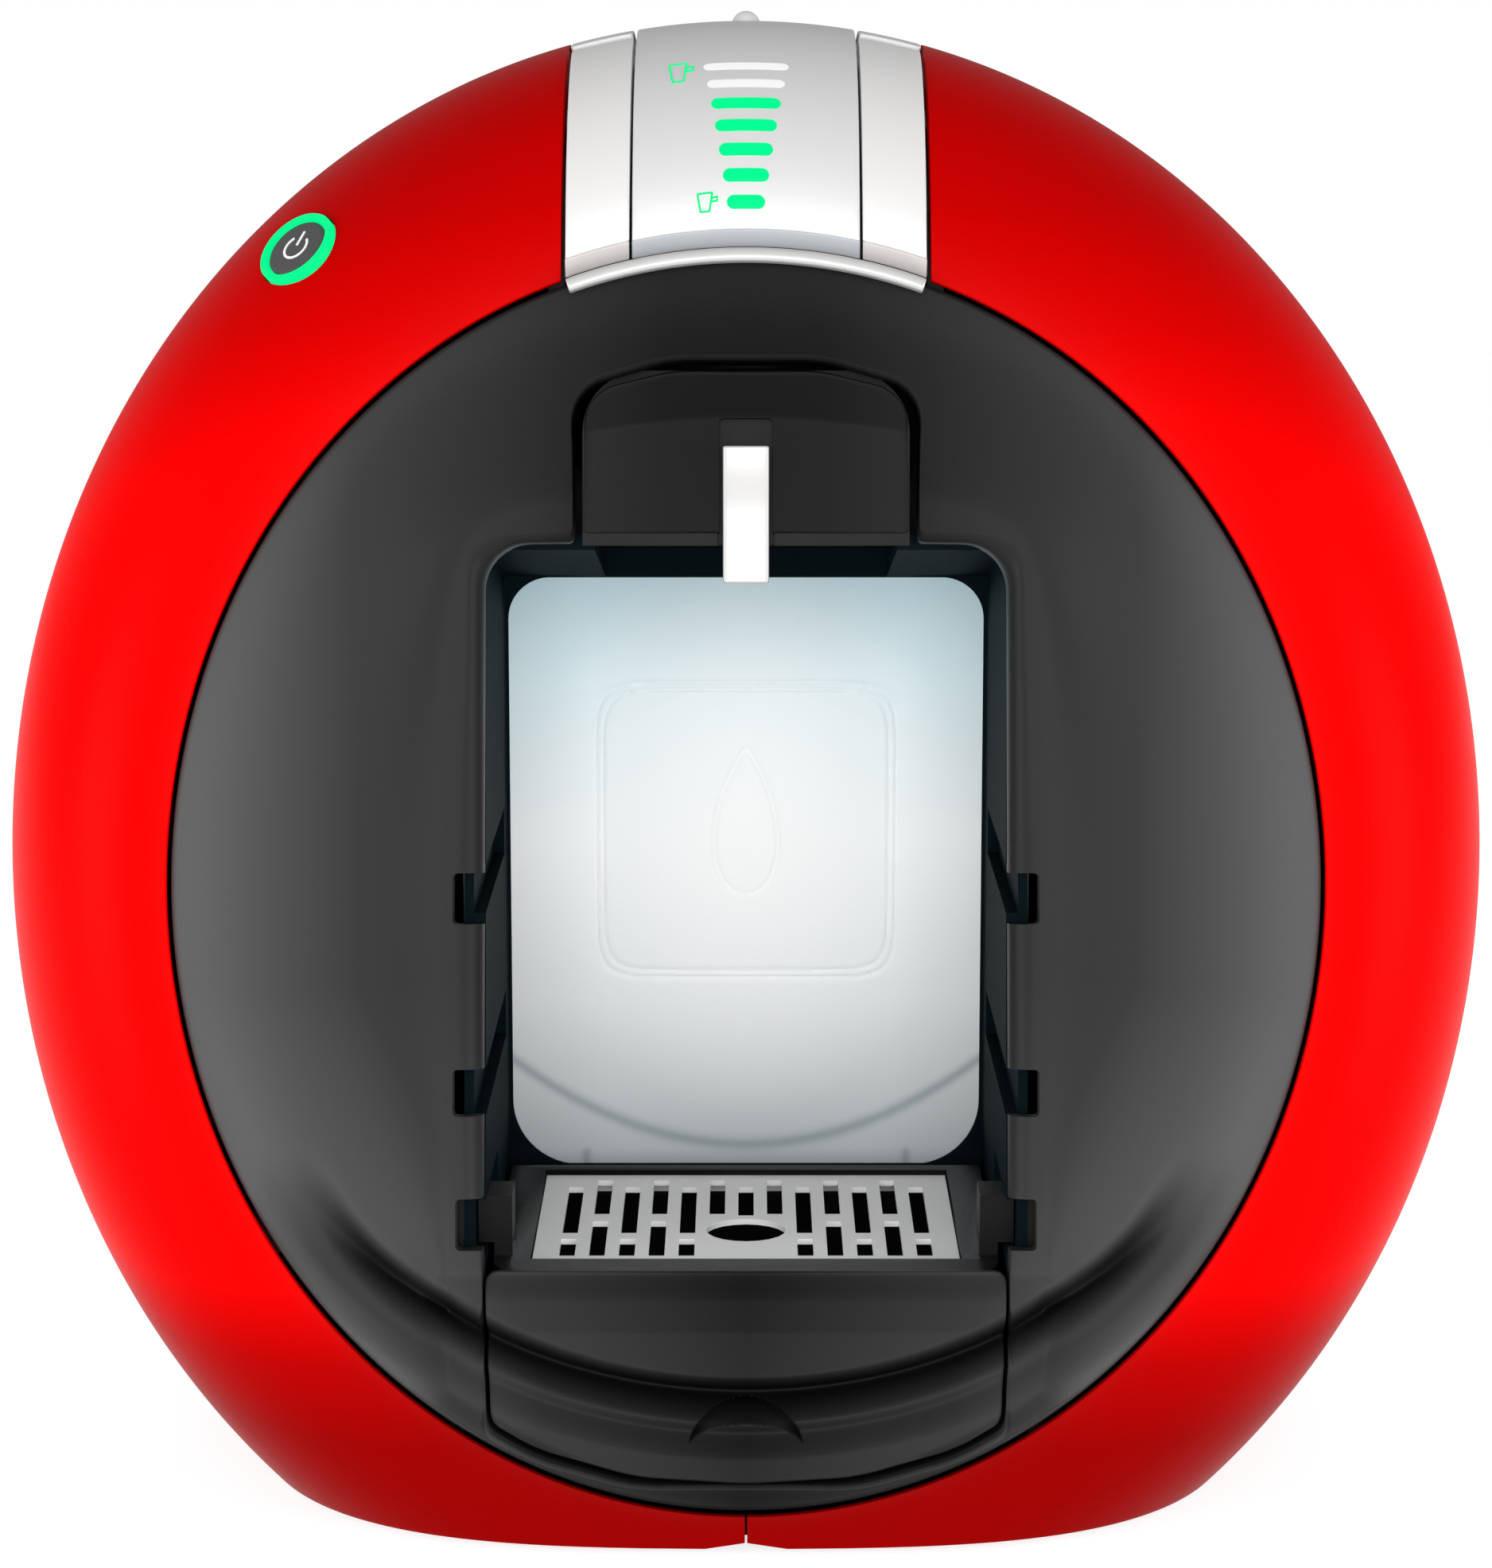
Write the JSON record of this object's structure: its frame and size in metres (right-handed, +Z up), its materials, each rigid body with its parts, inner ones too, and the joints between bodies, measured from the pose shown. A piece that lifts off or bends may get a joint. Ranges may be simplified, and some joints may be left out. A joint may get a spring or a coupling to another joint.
{
  "type": "pod coffee machine",
  "caption": "Ring-shaped pod coffee machine with a cup bay, slide-out pod holder, lock handle, level display, drip tray and lift-off rear water tank.",
  "frame": {"origin": "centre of the machine's box on the table plane", "axes": "+X to the right seen from the front, -Y out of the front, +Z up"},
  "size_m": [0.28, 0.2129, 0.2747],
  "materials": {
    "red_gloss": "gloss moulded ABS",
    "dish_grey": "fine satin moulded plastic",
    "black_plastic": "satin moulded plastic",
    "grey_plastic": "satin",
    "white_plastic": "satin",
    "silver_panel": "satin silver lacquer",
    "chrome_trim": "bright",
    "light_green": "lit light guide",
    "rubber": "matt",
    "steel": "brushed",
    "cast_aluminium": "as cast",
    "tank_clear": "clear blue-tinted plastic",
    "circuit_board": "solder mask",
    "hose": "translucent silicone"
  },
  "bodies": {
    "body": {"left_side_shell": "red_gloss", "right_side_shell": "red_gloss", "front_fascia": "dish_grey", "cavity_liner": "black_plastic", "rear_housing": "black_plastic", "base_plate": "black_plastic", "tank_base": "black_plastic", "control_panel": "silver_panel", "display_board": "circuit_board", "left_handle_pin": "steel", "right_handle_pin": "steel", "head_frame": "grey_plastic", "wheel_axle": "steel", "left_rear_strip": "silver_panel", "right_rear_strip": "silver_panel", "power_ring": "light_green", "left_guide_post": "steel", "right_guide_post": "steel", "tank_spigot": "grey_plastic", "pump": "steel", "lower_pump_mount": "rubber", "upper_pump_mount": "rubber", "thermoblock": "cast_aluminium", "flow_meter": "white_plastic", "control_board": "circuit_board", "cord_gland": "rubber", "inlet_hose": "hose", "pump_feed_hose": "hose", "pressure_hose": "hose", "injector_hose": "hose", "front_left_foot": "rubber", "front_right_foot": "rubber", "rear_left_foot": "rubber", "rear_right_foot": "rubber", "base_screw_1": "steel", "base_screw_2": "steel", "base_screw_3": "steel", "base_screw_4": "steel", "level_bar_1": "light_green", "level_bar_2": "light_green", "level_bar_3": "light_green", "level_bar_4": "light_green", "level_bar_5": "light_green", "level_bar_6": "white_plastic", "level_bar_7": "white_plastic"},
    "handle": {"lock_handle": "chrome_trim"},
    "wheel": {"volume_wheel": "black_plastic"},
    "selector": {"selector_lever": "chrome_trim"},
    "power": {"power_button": "grey_plastic"},
    "holder": {"pod_holder": "black_plastic", "holder_pull": "chrome_trim"},
    "injector": {"injector_carriage": "grey_plastic", "injector_needle": "steel", "injector_seal": "rubber"},
    "tray": {"drip_tray": "dish_grey"},
    "grid": {"drip_grid": "steel"},
    "tank": {"water_tank": "tank_clear", "tank_valve": "white_plastic"},
    "lid": {"tank_lid": "black_plastic"}
  },
  "joints": [
    {"name": "handle_hinge", "type": "hinge", "parent": "body", "child": "handle", "pos_m": [0, -0.04124, 0.2542], "axis": [-1, 0, 0], "range_deg": [0, 60]},
    {"name": "wheel_spin", "type": "hinge", "parent": "body", "child": "wheel", "pos_m": [0, -0.00441, 0.2673], "axis": [1, 0, 0], "continuous": true},
    {"name": "selector_tilt", "type": "hinge", "parent": "body", "child": "selector", "pos_m": [0, -0.01892, 0.24833], "axis": [0, 1, 0], "range_deg": [-12, 12], "stiffness_Nm_per_rad": 0.02},
    {"name": "power_press", "type": "slide", "parent": "body", "child": "power", "axis": [0.4974, 0.5729, -0.6514], "range_m": [0, 0.001], "stiffness_N_per_m": 400},
    {"name": "holder_slide", "type": "slide", "parent": "body", "child": "holder", "axis": [0, -1, 0], "range_m": [0, 0.075]},
    {"name": "injector_lift", "type": "slide", "parent": "body", "child": "injector", "axis": [0, 0, 1], "range_m": [0, 0.008], "deforming": ["injector_hose"]},
    {"name": "tray_slide", "type": "slide", "parent": "body", "child": "tray", "axis": [0, -1, 0], "range_m": [0, 0.1]},
    {"name": "grid_lift", "type": "slide", "parent": "tray", "child": "grid", "axis": [0, 0, 1], "range_m": [0, 0.03]},
    {"name": "tank_lift", "type": "slide", "parent": "body", "child": "tank", "axis": [0, 0, 1], "range_m": [0, 0.17]},
    {"name": "lid_hinge", "type": "hinge", "parent": "tank", "child": "lid", "pos_m": [0, 0.1045, 0.191], "axis": [-1, 0, 0], "range_deg": [0, 100]}
  ],
  "couplings": [
    {"joint": "injector_lift", "follows": "handle_hinge", "m_per_rad": 0.0076}
  ]
}
